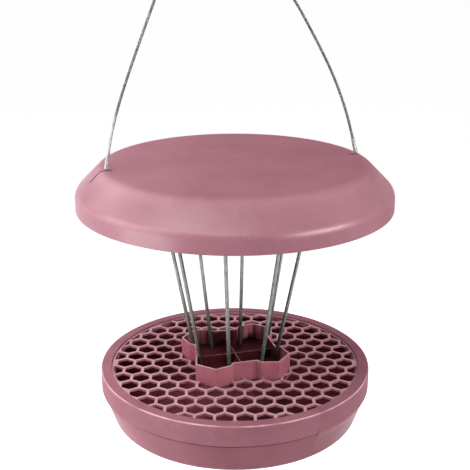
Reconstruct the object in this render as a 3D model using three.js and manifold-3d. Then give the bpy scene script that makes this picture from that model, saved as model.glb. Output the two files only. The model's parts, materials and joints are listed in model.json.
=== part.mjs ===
// Hanging bird feeder house: a shallow roof on leaning rods above a honeycomb tray with a bowl below.
// Millimetres, +Z up. The origin is the middle of the bowl's base, and X runs through both cable holes.
import * as THREE from 'three';
import { mergeGeometries, mergeVertices } from 'three/addons/utils/BufferGeometryUtils.js';
import Module from 'manifold-3d';

// Clearances
const seatGap = 0.3;
const rodSocketClearance = 0.3;
const rodWallClearance = 0.35;
const gridClearance = 0.3;
const bowlClearance = 0.5;
const cableHoleClearance = 0.3;

// Tray: the rim with its skirt, and the bowl that hangs below it
const trayRadius = 111.35;
const trayHeight = 45.4;
const rimWidth = 8.55;
const rimThickness = 2.2;
const rimOuterRounding = 1.3;
const rimInnerRounding = 0.6;
const skirtDrop = 17;
const skirtWall = 2;
const gridWellWall = 2;
const ledgeWidth = 3;
const ledgeThickness = 2;
const bowlWall = 2;
const bowlFloor = 2.2;
const bowlReveal = 1.25;
const bowlTaper = 9.5;
const bowlCornerRounding = 8;
const gripPadStart = 289.5;
const gripPadAngle = 30;
const gripPadFoot = 22;
const gripPadRise = 2.6;
const gripPadInset = 0.15;

// Honeycomb grid
const gridDrop = 1.3;
const gridDepth = 1.8;
const gridFrame = 1.1;
const cellPitch = 15.23;
const cellWall = 2.2;
const cellRowsTurn = -15;
const cellRowsShift = -3.75;
const smallestOpening = 3;

// Food cup: the clover-shaped collar in the middle of the grid
const cupRise = 14.4;
const cupWall = 1;
const cupNotchReach = 32.3;
const cupShoulderReach = 36.3;
const cupLobeReach = 39.7;
const cupLobeHalfWidth = 26.5;
const cupCornerSlant = 35;
const cupFloorRise = 0.3;
const cupFloorThickness = 2;
const cupFlangeWidth = 2.5;
const cupFlangeThickness = 2;
const crossRibHeight = 7.1;
const crossRibThickness = 1;

// Rods: they lean outward from the cup to the roof
const rodCount = 8;
const rodDiameter = 3;
const rodFootRadius = 33;
const rodHeadRadius = 59.9;
const rodFootDepth = 7;
const socketWall = 1.5;
const socketFloor = 1.2;

// Roof: a flat disc, a sloping shoulder and an upright lip
const feedingGap = 137.1;
const roofRadius = 125.2;
const roofRise = 33.3;
const roofShoulderRise = 13.2;
const roofShoulderWidth = 19.9;
const roofDiscRounding = 8.2;
const roofShoulderRounding = 9.9;
const roofWall = 2.2;
const roofBossDrop = 14;
const rodHeadCover = 2;

// Hanging cable, its sleeves above the roof and its stops below it
const cableDiameter = 2.2;
const cableHoleInset = 4.3;
const slitInward = 5;
const slitOutward = 13;
const slitWidth = 1.2;
const sleeveDiameter = 3.4;
const sleeveChamfer = 0.4;
const stopDiameter = 4.4;
const stopLength = 7;
const stopChamfer = 0.6;
const cableSteps = 70;
const cableSides = 8;
// The cable's route in the X-Z plane, from the left sleeve over the hook point to the right sleeve.
const cablePoints = [
  [-98.5, 230.6],
  [-95.4, 245.2],
  [-90.3, 263],
  [-84.2, 280.7],
  [-77.6, 298],
  [-70.8, 315.2],
  [-64, 332.2],
  [-57, 349.5],
  [-49.6, 367],
  [-42, 384],
  [-34.6, 398.6],
  [-28.2, 408.2],
  [-20.5, 412.8],
  [-12.2, 409.2],
  [-4.2, 399.6],
  [6.4, 387],
  [20.2, 371.5],
  [34.6, 354.5],
  [48.2, 335.8],
  [59.4, 317.3],
  [70, 298.8],
  [79.2, 280.9],
  [86.9, 263.2],
  [93, 246.2],
  [97.8, 229.6],
];

// Faceting
const ringSegments = 60;
const rodSides = 10;
const facetDepth = 0.09;
const reachPast = 1;
const weldTolerance = 1e-4;

// Heights above the base that follow from the sizes above
const skirtBottom = trayHeight - skirtDrop;
const bowlTop = trayHeight - rimThickness - seatGap;
const bowlShoulder = skirtBottom - seatGap;
const skirtNotchTop = skirtBottom + gripPadRise;
const gridTop = trayHeight - gridDrop;
const gridBottom = gridTop - gridDepth;
const ledgeTop = gridBottom - seatGap;
const cupFloorTop = gridTop + cupFloorRise;
const cupFloorBottom = cupFloorTop - cupFloorThickness;
const cupTop = gridTop + cupRise;
const cupBottom = ledgeTop - cupFlangeThickness;
const roofLip = trayHeight + feedingGap;
const roofTop = roofLip + roofRise;
const roofUnderside = roofTop - roofWall;
const roofShoulder = roofLip + roofShoulderRise;

// Radii and angles that follow from the sizes above
const rodRadius = rodDiameter / 2;
const socketBore = rodRadius + rodSocketClearance;
const socketRadius = socketBore + socketWall;
const rodLean = Math.atan2(rodHeadRadius - rodFootRadius, roofLip - cupFloorTop);
const rimInnerRadius = trayRadius - rimWidth;
const skirtInnerRadius = trayRadius - skirtWall;
const bowlNeckRadius = skirtInnerRadius - bowlClearance;
const bowlShoulderRadius = trayRadius - bowlReveal;
const bowlBaseRadius = bowlShoulderRadius - bowlTaper;
const roofDiscRadius = roofRadius - roofShoulderWidth;
const cableHoleRadius = roofDiscRadius - cableHoleInset;
const sleeveRadius = sleeveDiameter / 2;
const pivotHeight = roofTop + seatGap + sleeveRadius;

const wasm = await Module();
wasm.setup();

const plastic = { color: '#a4667a', roughness: 0.55, metalness: 0 };
const galvanised = { color: '#8b908c', roughness: 0.4, metalness: 0.9 };
const aluminium = { color: '#c6c7c4', roughness: 0.35, metalness: 0.9 };

// A mesh with shared corners merged, flat triangles left out and faces pointing out.
function closedMesh(geometry) {
  const bare = new THREE.BufferGeometry();
  bare.setAttribute('position', geometry.getAttribute('position'));
  bare.setIndex(geometry.getIndex());
  const merged = mergeVertices(bare, weldTolerance);
  const corners = merged.getIndex().array;
  const kept = [];
  for (let i = 0; i < corners.length; i += 3) {
    const [a, b, c] = corners.slice(i, i + 3);
    if (a !== b && b !== c && c !== a) kept.push(a, b, c);
  }
  if (signedVolume(merged.getAttribute('position'), kept) < 0) kept.reverse();
  merged.setIndex(kept);
  return merged;
}

function signedVolume(position, triangles) {
  const [a, b, c] = [new THREE.Vector3(), new THREE.Vector3(), new THREE.Vector3()];
  let sum = 0;
  for (let i = 0; i < triangles.length; i += 3) {
    a.fromBufferAttribute(position, triangles[i]);
    b.fromBufferAttribute(position, triangles[i + 1]);
    c.fromBufferAttribute(position, triangles[i + 2]);
    sum += a.dot(b.cross(c));
  }
  return sum / 6;
}

function toSolid(geometry) {
  const mesh = closedMesh(geometry);
  const vertProperties = Float32Array.from(mesh.getAttribute('position').array);
  const triVerts = Uint32Array.from(mesh.getIndex().array);
  return new wasm.Manifold(new wasm.Mesh({ numProp: 3, vertProperties, triVerts }));
}

function toGeometry(solid) {
  const mesh = solid.getMesh();
  const geometry = new THREE.BufferGeometry();
  geometry.setAttribute('position', new THREE.BufferAttribute(mesh.vertProperties, 3));
  geometry.setIndex(new THREE.BufferAttribute(mesh.triVerts, 1));
  geometry.computeVertexNormals();
  return geometry;
}

function piece(name, geometry, look) {
  const mesh = new THREE.Mesh(geometry, new THREE.MeshStandardMaterial(look));
  mesh.name = name;
  return mesh;
}

// Outline points from corners given as [x, y, rounding], where the rounding may be left out.
function roundedOutline(corners) {
  return corners.flatMap(([x, y, rounding = 0], i) => {
    const corner = new THREE.Vector2(x, y);
    if (rounding === 0) return [corner];
    const before = new THREE.Vector2(...corners.at(i - 1)).sub(corner).normalize();
    const after = new THREE.Vector2(...corners[(i + 1) % corners.length]).sub(corner).normalize();
    const halfAngle = Math.acos(before.dot(after)) / 2;
    const bisector = before.clone().add(after).normalize();
    const centre = corner.clone().addScaledVector(bisector, rounding / Math.sin(halfAngle));
    const start = corner.clone().addScaledVector(before, rounding / Math.tan(halfAngle)).sub(centre);
    const turn = Math.sign(after.cross(before)) * (Math.PI - 2 * halfAngle);
    const facetTurn = 2 * Math.acos(1 - facetDepth / rounding);
    const steps = Math.ceil(Math.abs(turn) / facetTurn);
    const arc = Array.from({ length: steps + 1 }, (_, k) => (turn * k) / steps);
    return arc.map((angle) => start.clone().rotateAround(new THREE.Vector2(), angle).add(centre));
  });
}

// The corner of a line that runs at a distance to the left of the line before-corner-after.
function besideCorner(before, corner, after, distance) {
  const left = (from, to) => new THREE.Vector2(from.y - to.y, to.x - from.x).normalize();
  const first = left(before, corner);
  const second = left(corner, after);
  const sum = first.clone().add(second);
  return corner.clone().addScaledVector(sum, distance / (1 + first.dot(second)));
}

// A closed outline moved outward by a distance, or inward where the distance is negative.
function grownOutline(points, distance) {
  const at = (i) => points.at(i % points.length);
  return points.map((point, i) => besideCorner(at(i - 1), point, at(i + 1), -distance));
}

// Revolves a profile of radius and height points about Z.
function revolved(profile, segments = ringSegments) {
  return new THREE.LatheGeometry(profile, segments).rotateX(Math.PI / 2);
}

function revolvedRing(corners) {
  const profile = roundedOutline(corners);
  return revolved([...profile, profile[0]]);
}

// An upright prism between two heights.
function prism(points, low, high) {
  const settings = { depth: high - low, bevelEnabled: false };
  return new THREE.ExtrudeGeometry(new THREE.Shape(points), settings).translate(0, 0, low);
}

function circle(radius, segments) {
  return Array.from({ length: segments }, (_, i) => polar(radius, (i / segments) * 2 * Math.PI));
}

function polar(radius, angle) {
  return new THREE.Vector2(radius * Math.cos(angle), radius * Math.sin(angle));
}

function cylinderAlongZ(radius, low, high, sides = rodSides) {
  const cylinder = new THREE.CylinderGeometry(radius, radius, high - low, sides);
  return cylinder.rotateX(Math.PI / 2).translate(0, 0, (low + high) / 2);
}

// Each rod's foot lies in the cup's floor, and its angle puts a pair of rods in every lobe.
function rodAngle(index) {
  return ((index + 0.5) / rodCount) * 2 * Math.PI;
}

function alongRod(geometry, index) {
  return geometry.rotateY(rodLean).translate(rodFootRadius, 0, cupFloorTop).rotateZ(rodAngle(index));
}

// The length along a rod from its foot point to a height.
function rodLengthTo(height) {
  return (height - cupFloorTop) / Math.cos(rodLean);
}

const rodIndexes = Array.from({ length: rodCount }, (_, i) => i);
const rodHeadEnd = rodLengthTo(roofUnderside - rodHeadCover);

function onEveryRod(makeGeometry) {
  return rodIndexes.map((index) => toSolid(alongRod(makeGeometry(), index)));
}

function joined(solid, others) {
  return others.reduce((sum, other) => sum.add(other), solid);
}

function cut(solid, others) {
  return others.reduce((rest, other) => rest.subtract(other), solid);
}

// Bowl: a cone on a rounded base, with a shoulder under the skirt and an upright neck inside it.
function bowl() {
  const base = new THREE.Vector2(bowlBaseRadius, 0);
  const shoulder = new THREE.Vector2(bowlShoulderRadius, bowlShoulder);
  const innerBase = besideCorner(new THREE.Vector2(), base, shoulder, bowlWall);
  const innerNeckRadius = bowlNeckRadius - bowlWall;
  const coneHeight = (radius) => innerBase.y + ((radius - innerBase.x) / bowlTaper) * bowlShoulder;
  const profile = roundedOutline([
    [0, 0],
    [base.x, base.y, bowlCornerRounding],
    [shoulder.x, shoulder.y],
    [bowlNeckRadius, bowlShoulder],
    [bowlNeckRadius, bowlTop],
    [innerNeckRadius, bowlTop],
    [innerNeckRadius, coneHeight(innerNeckRadius)],
    [innerBase.x, bowlFloor, bowlCornerRounding - bowlWall],
    [0, bowlFloor],
  ]);
  return toGeometry(joined(toSolid(revolved(profile)), gripPads()));
}

// Two pads on the bowl that fill the skirt's notches and carry its face down to the cone.
function gripPads() {
  const coneRadius = bowlBaseRadius + (gripPadFoot / bowlShoulder) * bowlTaper;
  const ring = toSolid(revolvedRing([
    [trayRadius - gripPadInset, skirtNotchTop - seatGap],
    [bowlNeckRadius - bowlWall / 2, skirtNotchTop - seatGap],
    [bowlNeckRadius - bowlWall / 2, bowlShoulder],
    [coneRadius - bowlWall / 2, gripPadFoot],
    [coneRadius, gripPadFoot],
    [trayRadius - gripPadInset, bowlShoulder],
  ]));
  return padWedges(0).map((wedge) => ring.intersect(wedge));
}

// The two opposite sectors of the pads, each side moved out by a gap along the tray's edge.
function padWedges(gap) {
  const angle = THREE.MathUtils.degToRad(gripPadAngle) + (2 * gap) / trayRadius;
  const far = (trayRadius + reachPast) / Math.cos(angle / 2) + reachPast;
  return [0, 180].map((side) => {
    const start = THREE.MathUtils.degToRad(gripPadStart + side) - gap / trayRadius;
    const wedge = [new THREE.Vector2(), polar(far, start), polar(far, start + angle)];
    return toSolid(prism(wedge, 0, trayHeight));
  });
}

// Notches in the skirt's lower edge for the bowl's pads.
function skirtNotches() {
  const ring = toSolid(revolvedRing([
    [skirtInnerRadius - bowlClearance / 2, skirtBottom - reachPast],
    [trayRadius + reachPast, skirtBottom - reachPast],
    [trayRadius + reachPast, skirtNotchTop],
    [skirtInnerRadius - bowlClearance / 2, skirtNotchTop],
  ]));
  return padWedges(seatGap).map((wedge) => ring.intersect(wedge));
}

// Rim: a flat ring with the skirt outside and a well with a ledge for the grid inside.
function rim() {
  const wellOuterRadius = rimInnerRadius + gridWellWall;
  const ring = toSolid(revolvedRing([
    [rimInnerRadius - ledgeWidth, ledgeTop - ledgeThickness],
    [rimInnerRadius - ledgeWidth, ledgeTop],
    [rimInnerRadius, ledgeTop],
    [rimInnerRadius, trayHeight, rimInnerRounding],
    [trayRadius, trayHeight, rimOuterRounding],
    [trayRadius, skirtBottom],
    [skirtInnerRadius, skirtBottom],
    [skirtInnerRadius, trayHeight - rimThickness],
    [wellOuterRadius, trayHeight - rimThickness],
    [wellOuterRadius, ledgeTop - ledgeThickness],
  ]));
  return toGeometry(cut(ring, skirtNotches()));
}

// One side of the clover: a notch wall, a slanted corner beside a rod and half a lobe on each side.
function cloverOutline() {
  const rodAtTop = polar(rodFootRadius + Math.tan(rodLean) * (cupTop - cupFloorTop), rodAngle(0));
  const slant = THREE.MathUtils.degToRad(cupCornerSlant);
  const wallFromRod = rodRadius + rodWallClearance + cupWall;
  const onSlant = polar(wallFromRod, slant - Math.PI / 2).add(rodAtTop);
  const slantHalfWidth = (reach) => onSlant.y + (reach - onSlant.x) * Math.tan(slant);
  const side = [
    [cupNotchReach, -slantHalfWidth(cupNotchReach)],
    [cupNotchReach, slantHalfWidth(cupNotchReach)],
    [cupShoulderReach, slantHalfWidth(cupShoulderReach)],
    [cupLobeReach, cupLobeHalfWidth],
    [cupLobeHalfWidth, cupLobeReach],
    [slantHalfWidth(cupShoulderReach), cupShoulderReach],
  ];
  return [0, 1, 2, 3].flatMap((quarter) =>
    side.map(([x, y]) => new THREE.Vector2(x, y).rotateAround(new THREE.Vector2(), (quarter * Math.PI) / 2)));
}

const clover = cloverOutline();

// Grid: a round plate with hexagonal cells, cut open where the cup passes through it.
function grid() {
  const plateRadius = rimInnerRadius - gridClearance;
  const low = gridBottom - reachPast;
  const high = gridTop + reachPast;
  const openRadius = plateRadius - gridFrame;
  const plate = toSolid(prism(circle(plateRadius, ringSegments), gridBottom, gridTop));
  const openArea = toSolid(prism(circle(openRadius, ringSegments), low, high));
  const cells = toSolid(mergeGeometries(cellCentres(openRadius).map((centre) => {
    const corner = (i) => polar((cellPitch - cellWall) / Math.sqrt(3), (i / 6 + 1 / 12) * 2 * Math.PI);
    const turned = Array.from({ length: 6 }, (_, i) => corner(i).add(centre));
    return prism(turned, low, high).rotateZ(THREE.MathUtils.degToRad(cellRowsTurn));
  })));
  const cupHole = toSolid(prism(grownOutline(clover, gridClearance), low, high));
  return toGeometry(cut(plate, [cells.intersect(openArea), cupHole]));
}

// Cell centres in staggered rows, for every cell that opens far enough inside the frame.
function cellCentres(openRadius) {
  const reach = openRadius + cellPitch / 2 - smallestOpening;
  const rowStep = (cellPitch * Math.sqrt(3)) / 2;
  const rows = Math.ceil(reach / rowStep) + 1;
  const centres = [];
  for (let row = -rows; row <= rows; row += 1) {
    const shift = (Math.abs(row) % 2) / 2;
    for (let column = -rows; column <= rows; column += 1) {
      const centre = new THREE.Vector2((column + shift) * cellPitch, row * rowStep + cellRowsShift);
      if (centre.length() < reach) centres.push(centre);
    }
  }
  return centres;
}

// Cup: the clover wall with a floor, a cross of ribs, rod sockets and a flange under the grid.
function cup() {
  const inside = grownOutline(clover, -cupWall);
  const wall = toSolid(prism(clover, cupBottom, cupTop));
  const flange = toSolid(prism(grownOutline(clover, cupFlangeWidth), cupBottom, ledgeTop));
  const hollow = toSolid(prism(inside, cupBottom - reachPast, cupTop + reachPast));
  const middle = grownOutline(clover, -cupWall / 2);
  const floor = toSolid(prism(middle, cupFloorBottom, cupFloorTop));
  const ribTop = cupFloorTop + crossRibHeight;
  const ribLength = 2 * cupNotchReach - cupWall;
  const ribHeight = ribTop - cupFloorBottom;
  const ribs = [[ribLength, crossRibThickness], [crossRibThickness, ribLength]].map(([x, y]) =>
    toSolid(new THREE.BoxGeometry(x, y, ribHeight).translate(0, 0, ribTop - ribHeight / 2)));
  const socketTop = rodLengthTo(cupFloorBottom) + cupFloorThickness / 2;
  const socketBottom = -rodFootDepth - seatGap - socketFloor;
  const sockets = onEveryRod(() => cylinderAlongZ(socketRadius, socketBottom, socketTop));
  const bores = onEveryRod(() => cylinderAlongZ(socketBore, -rodFootDepth - seatGap, rodLengthTo(cupTop)));
  const shell = wall.add(flange).subtract(hollow);
  return toGeometry(cut(joined(shell, [floor, ...ribs, ...sockets]), bores));
}

// Rods, each in a group turned to its place round the axis.
function rods() {
  return rodIndexes.map((index) => {
    const bar = closedMesh(cylinderAlongZ(rodRadius, -rodFootDepth, rodHeadEnd));
    const rod = piece(`rod_${index + 1}`, bar, galvanised);
    rod.position.set(rodFootRadius, 0, cupFloorTop);
    rod.rotation.y = rodLean;
    const place = new THREE.Group();
    place.rotation.z = rodAngle(index);
    place.add(rod);
    return place;
  });
}

// Roof: a thin shell with a blind boss for each rod, and a slit with a round hole for each cable end.
function roof() {
  const outer = [
    [0, roofTop],
    [roofDiscRadius, roofTop, roofDiscRounding],
    [roofRadius, roofShoulder, roofShoulderRounding],
    [roofRadius, roofLip],
  ];
  const [centre, disc, shoulder, lip] = outer.map(([x, y]) => new THREE.Vector2(x, y));
  const innerShoulder = besideCorner(disc, shoulder, lip, -roofWall);
  const innerDisc = besideCorner(centre, disc, shoulder, -roofWall);
  const profile = roundedOutline([
    ...outer,
    [roofRadius - roofWall, roofLip],
    [innerShoulder.x, innerShoulder.y, roofShoulderRounding - roofWall],
    [innerDisc.x, innerDisc.y, roofDiscRounding - roofWall],
    [0, roofUnderside],
  ]);
  const bossBottom = rodLengthTo(roofUnderside - roofBossDrop);
  const bossTop = rodLengthTo(roofTop - roofWall / 2) - socketRadius * Math.tan(rodLean);
  const bosses = onEveryRod(() => cylinderAlongZ(socketRadius, bossBottom, bossTop));
  const bores = onEveryRod(() => cylinderAlongZ(socketBore, bossBottom - reachPast, rodHeadEnd + seatGap));
  const shell = joined(toSolid(revolved(profile)), bosses);
  return toGeometry(cut(shell, [...bores, ...cableOpenings()]));
}

function cableOpenings() {
  const length = slitInward + slitOutward;
  const middle = cableHoleRadius - slitInward + length / 2;
  const low = roofShoulder;
  const high = roofTop + reachPast;
  const holeRadius = cableDiameter / 2 + cableHoleClearance;
  const slit = () => new THREE.BoxGeometry(length, slitWidth, high - low);
  return [-1, 1].flatMap((side) => [
    toSolid(slit().translate(side * middle, 0, (low + high) / 2)),
    toSolid(cylinderAlongZ(holeRadius, low, high).translate(side * cableHoleRadius, 0, 0)),
  ]);
}

// Stop: the cable's tail through the roof, with a crimped end that bears on the roof's underside.
function cableStop(name, side) {
  const tailRadius = cableDiameter / 2;
  const stopRadius = stopDiameter / 2;
  const bearing = roofUnderside - seatGap;
  const profile = [
    [0, roofTop],
    [tailRadius, roofTop],
    [tailRadius, bearing],
    [stopRadius, bearing],
    [stopRadius, bearing - stopLength + stopChamfer],
    [stopRadius - stopChamfer, bearing - stopLength],
    [0, bearing - stopLength],
  ].map(([x, y]) => new THREE.Vector2(x, y));
  const stop = piece(name, closedMesh(revolved(profile, rodSides)), aluminium);
  stop.position.x = side * cableHoleRadius;
  return stop;
}

// Sleeve: crimped on the cable, with a ball end that rests over the hole and lets the cable swing.
function cableSleeve(name, side, [cableX, cableZ]) {
  const run = new THREE.Vector2(cableX - side * cableHoleRadius, cableZ - pivotHeight);
  const length = run.length() - seatGap;
  const ball = roundedOutline([
    [0, 0],
    [0, -sleeveRadius],
    [sleeveRadius, -sleeveRadius, sleeveRadius],
    [sleeveRadius, length - sleeveChamfer],
    [sleeveRadius - sleeveChamfer, length],
    [0, length],
  ]).slice(2);
  const sleeve = piece(name, closedMesh(revolved(ball, rodSides)), aluminium);
  sleeve.position.set(side * cableHoleRadius, 0, pivotHeight);
  sleeve.rotation.y = Math.atan2(run.x, run.y);
  return sleeve;
}

function hangingCable() {
  const route = new THREE.CatmullRomCurve3(cablePoints.map(([x, z]) => new THREE.Vector3(x, 0, z)));
  const section = new THREE.Shape(circle(cableDiameter / 2, cableSides));
  const settings = { steps: cableSteps, extrudePath: route, bevelEnabled: false };
  return closedMesh(new THREE.ExtrudeGeometry(section, settings));
}

const feeder = new THREE.Group();
feeder.add(
  piece('seed_bowl', bowl(), plastic),
  piece('tray_rim', rim(), plastic),
  piece('honeycomb_grid', grid(), plastic),
  piece('food_cup', cup(), plastic),
  ...rods(),
  piece('roof', roof(), plastic),
  cableStop('cable_stop_left', -1),
  cableStop('cable_stop_right', 1),
  cableSleeve('cable_sleeve_left', -1, cablePoints[0]),
  cableSleeve('cable_sleeve_right', 1, cablePoints.at(-1)),
  piece('hanging_cable', hangingCable(), galvanised),
);

export default feeder;
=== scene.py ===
import json
import math

import bmesh
import bpy
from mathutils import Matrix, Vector


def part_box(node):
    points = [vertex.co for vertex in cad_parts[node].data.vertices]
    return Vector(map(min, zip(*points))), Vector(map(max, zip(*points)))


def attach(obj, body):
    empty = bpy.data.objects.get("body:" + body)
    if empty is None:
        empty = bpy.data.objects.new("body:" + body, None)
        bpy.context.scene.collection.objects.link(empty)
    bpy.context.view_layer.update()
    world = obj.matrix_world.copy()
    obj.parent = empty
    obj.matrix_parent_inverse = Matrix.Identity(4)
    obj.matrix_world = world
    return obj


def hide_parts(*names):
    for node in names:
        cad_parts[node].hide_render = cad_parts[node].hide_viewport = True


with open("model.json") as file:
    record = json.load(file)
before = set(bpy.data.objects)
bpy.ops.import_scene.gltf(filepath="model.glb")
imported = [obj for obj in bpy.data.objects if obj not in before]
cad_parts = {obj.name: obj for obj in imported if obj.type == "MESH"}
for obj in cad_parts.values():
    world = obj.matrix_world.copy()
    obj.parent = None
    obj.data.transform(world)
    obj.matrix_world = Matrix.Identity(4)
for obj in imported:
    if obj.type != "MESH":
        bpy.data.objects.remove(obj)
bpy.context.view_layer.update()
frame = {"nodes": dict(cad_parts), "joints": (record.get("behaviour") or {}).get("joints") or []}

# Seed bowl: the round dish under the tray, one satin injection moulding in dusty rose.
# Its neck goes up inside the skirt of the rim, and two pads carry the skirt's face down
# to the cone, so that a thumb finds the bowl to pull it off.
MM = 0.001
seat_gap = 0.3 * MM
touch = 0.01 * MM
rim_low, rim_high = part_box("tray_rim")
bowl_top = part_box("seed_bowl")[1].z
bowl_neck = 108.85 * MM
bowl_shoulder = rim_low.z - seat_gap
bowl_shoulder_radius = rim_high.x - 1.25 * MM
bowl_base_radius = 100.6 * MM
bowl_wall = 2.0 * MM
bowl_floor = 2.2 * MM
bowl_corner = 8.0 * MM
neck_edge = 0.5 * MM
neck_bend = 1.0 * MM
tray_sides = 240
pad_starts = (289.5, 109.5)
pad_width = 30.0
pad_foot = 22.0 * MM
pad_top = rim_low.z + 2.3 * MM
pad_face = rim_high.x - 0.03 * MM
pad_edge = 0.3
pad_head = 0.05 * MM
pad_steps = 8
outer_skin = 0.2 * MM
inside_shade_depth = 1.6 * MM
floor_skin = 0.1 * MM
seam_low = bowl_shoulder - 1.4 * MM
seam_fade = 0.35 * MM
seam_reach = bowl_shoulder_radius + 0.3 * MM
seam_reach_fade = 0.2 * MM
seam_painted_shade = (0.42, 0.30, 0.34)
bowl_tones = [(0.284, 0.107, 0.137), (0.326, 0.130, 0.163), (0.363, 0.155, 0.189)]
painted_shade_tones = [(0.105, 0.020, 0.030), (0.172, 0.037, 0.054), (0.238, 0.057, 0.079)]


def rounded(corners, step=6.0):
    """A profile of (radius, height) points from corners (radius, height, rounding)."""
    points = []
    for i, (r, z, rounding) in enumerate(corners):
        here = Vector((r, z))
        if rounding == 0:
            points.append(here)
            continue
        back = (Vector(corners[i - 1][:2]) - here).normalized()
        ahead = (Vector(corners[(i + 1) % len(corners)][:2]) - here).normalized()
        half_angle = math.acos(max(-1.0, min(1.0, back.dot(ahead)))) / 2
        centre = here + (back + ahead).normalized() * (rounding / math.sin(half_angle))
        first = here + back * (rounding / math.tan(half_angle)) - centre
        last = here + ahead * (rounding / math.tan(half_angle)) - centre
        turn = math.atan2(first.x * last.y - first.y * last.x, first.dot(last))
        count = max(3, math.ceil(abs(math.degrees(turn)) / step))
        for k in range(count + 1):
            cos = math.cos(turn * k / count)
            sin = math.sin(turn * k / count)
            out = first.x * cos - first.y * sin
            up = first.x * sin + first.y * cos
            points.append(centre + Vector((out, up)))
    return points


crease_angle = 32.0
weld_distance = 1e-6
axis_width = 1e-9


def keep_sharp(mesh, degrees):
    mesh.shade_smooth()
    mesh.set_sharp_from_angle(angle=math.radians(degrees))


def add_piece(name, bm, sharp=crease_angle):
    bmesh.ops.remove_doubles(bm, verts=bm.verts, dist=weld_distance)
    bmesh.ops.recalc_face_normals(bm, faces=bm.faces)
    mesh = bpy.data.meshes.new(name)
    bm.to_mesh(mesh)
    bm.free()
    keep_sharp(mesh, sharp)
    piece = bpy.data.objects.new(name, mesh)
    bpy.context.collection.objects.link(piece)
    return piece


def even_angles(count):
    return [360.0 * i / count for i in range(count)]


def turned(bm, profile, angles, shaped=None, closed=False):
    """Turn a profile about Z and give its points; shaped may move a point at an angle in degrees."""
    columns = []
    for angle in angles:
        a = math.radians(angle)
        column = []
        for point in profile:
            r, z = shaped(point.x, point.y, angle) if shaped else point
            column.append(bm.verts.new((r * math.cos(a), r * math.sin(a), z)))
        columns.append(column)
    last = len(profile) if closed else len(profile) - 1
    for i, column in enumerate(columns):
        beside = columns[(i + 1) % len(columns)]
        for k in range(last):
            n = (k + 1) % len(profile)
            ring = [column[k], beside[k], beside[n], column[n]]
            on_axis = [v for v in ring if Vector(v.co[:2]).length < axis_width]
            if on_axis and ring.index(on_axis[0]) in (0, 1):
                ring = [column[k], beside[n], column[n]]
            elif on_axis:
                ring = [column[k], beside[k], column[n]]
            bm.faces.new(ring)
    return [vert for column in columns for vert in column]


def bowl_cone(z):
    return bowl_base_radius + (bowl_shoulder_radius - bowl_base_radius) * z / bowl_shoulder


def on_pad(angle, spare=0.0):
    return any((angle - start + spare) % 360.0 <= pad_width + 2 * spare for start in pad_starts)


def padded_bowl(r, z, angle):
    """The bowl's outside, pushed out to the skirt's face over the two pads."""
    if not on_pad(angle) or not pad_foot <= z < pad_top:
        return r, z
    if z > bowl_shoulder - touch:
        return (pad_face, z) if r > bowl_neck - touch else (r, z)
    if r < bowl_cone(z) - outer_skin:
        return r, z
    share = (z - pad_foot) / (bowl_shoulder - pad_foot)
    return r + (pad_face - bowl_shoulder_radius) * share, z


def inner_line(before, here, after, wall):
    """The corner of a wall's inside, beside the corner here of its outside."""
    one = (here - before).normalized()
    two = (after - here).normalized()
    left = Vector((-one.y, one.x)) + Vector((-two.y, two.x))
    return here + left * (wall / (1 + one.dot(two)))


base_corner = Vector((bowl_base_radius, 0.0))
shoulder_corner = Vector((bowl_shoulder_radius, bowl_shoulder))
inside_base = inner_line(Vector((0.0, 0.0)), base_corner, shoulder_corner, bowl_wall)
inside_neck = bowl_neck - bowl_wall
cone_rise = bowl_shoulder / (bowl_shoulder_radius - bowl_base_radius)
inside_shoulder = inside_base.y + (inside_neck - inside_base.x) * cone_rise
pad_heights = [pad_foot + (bowl_shoulder - pad_foot) * k / pad_steps for k in range(pad_steps + 1)]
bowl_outside = rounded([
    (0.0, 0.0, 0),
    (bowl_base_radius, 0.0, bowl_corner),
    (bowl_shoulder_radius, bowl_shoulder, 0),
])[:-1]
bowl_inside = rounded([
    (bowl_neck, bowl_shoulder, 0),
    (bowl_neck, pad_top - pad_head, 0),
    (bowl_neck, pad_top, 0),
    (bowl_neck, bowl_top, neck_edge),
    (inside_neck, bowl_top, neck_edge),
    (inside_neck, inside_shoulder, neck_bend),
    (inside_base.x, bowl_floor, bowl_corner - bowl_wall),
    (0.0, bowl_floor, 0),
])
bowl_profile = bowl_outside + [Vector((bowl_cone(z), z)) for z in pad_heights] + bowl_inside
bowl_angles = set(even_angles(tray_sides))
for pad_start in pad_starts:
    for edge in (pad_start, pad_start + pad_width):
        bowl_angles |= {(edge + side * pad_edge / 2) % 360.0 for side in (-1.0, 1.0)}
bowl_mesh = bmesh.new()
turned(bowl_mesh, bowl_profile, sorted(bowl_angles), padded_bowl)
bowl = add_piece("dusty_rose_bowl", bowl_mesh)


def node(tree, kind, **values):
    made = tree.nodes.new("ShaderNode" + kind)
    for name, value in values.items():
        if name in made.bl_rna.properties:
            setattr(made, name, value)
        else:
            made.inputs[name.replace("_", " ")].default_value = value
    return made


def new_material(name):
    made = bpy.data.materials.new(name)
    made.use_nodes = True
    return made, made.node_tree, made.node_tree.nodes["Principled BSDF"]


def ramp(tree, fac, stops):
    made = tree.nodes.new("ShaderNodeValToRGB")
    while len(made.color_ramp.elements) < len(stops):
        made.color_ramp.elements.new(0.5)
    for element, (place, colour) in zip(made.color_ramp.elements, stops):
        element.position = place
        element.color = (*colour, 1.0)
    tree.links.new(fac, made.inputs["Fac"])
    return made.outputs["Color"]


def one_axis(tree, vector, axis):
    split = node(tree, "SeparateXYZ")
    tree.links.new(vector, split.inputs["Vector"])
    return split.outputs[axis]


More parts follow.
